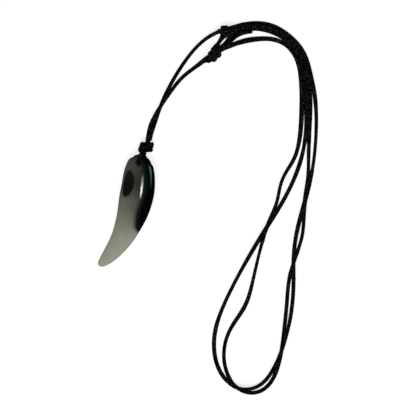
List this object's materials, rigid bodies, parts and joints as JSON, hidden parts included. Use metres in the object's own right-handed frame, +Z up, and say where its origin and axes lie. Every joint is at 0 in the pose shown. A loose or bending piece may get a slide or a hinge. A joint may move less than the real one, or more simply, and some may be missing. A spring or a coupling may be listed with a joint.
{
  "type": "glass tooth pendant on a cord",
  "caption": "Curved smoky glass tooth hung through a drilled hole from a black cord with sliding knots, laid flat as a doubled loop.",
  "frame": {"origin": "under the middle of the tooth's bounding box, on the surface that the pendant lies on", "axes": "+Y from the tooth's tip towards its drilled end, +Z up from the surface, the cord's neck loop on the +X side"},
  "size_m": [0.0876, 0.1484, 0.007],
  "materials": {
    "glass": "polished smoky olive grey glass",
    "cord": "black waxed braided cord with a satin sheen"
  },
  "bodies": {
    "root": {"tooth": "glass", "hole_loop": "cord", "pendant_knot": "cord", "cord_a": "cord", "cord_b": "cord", "upper_slide_knot": "cord", "lower_slide_knot": "cord", "lower_tail": "cord"}
  },
  "joints": []
}
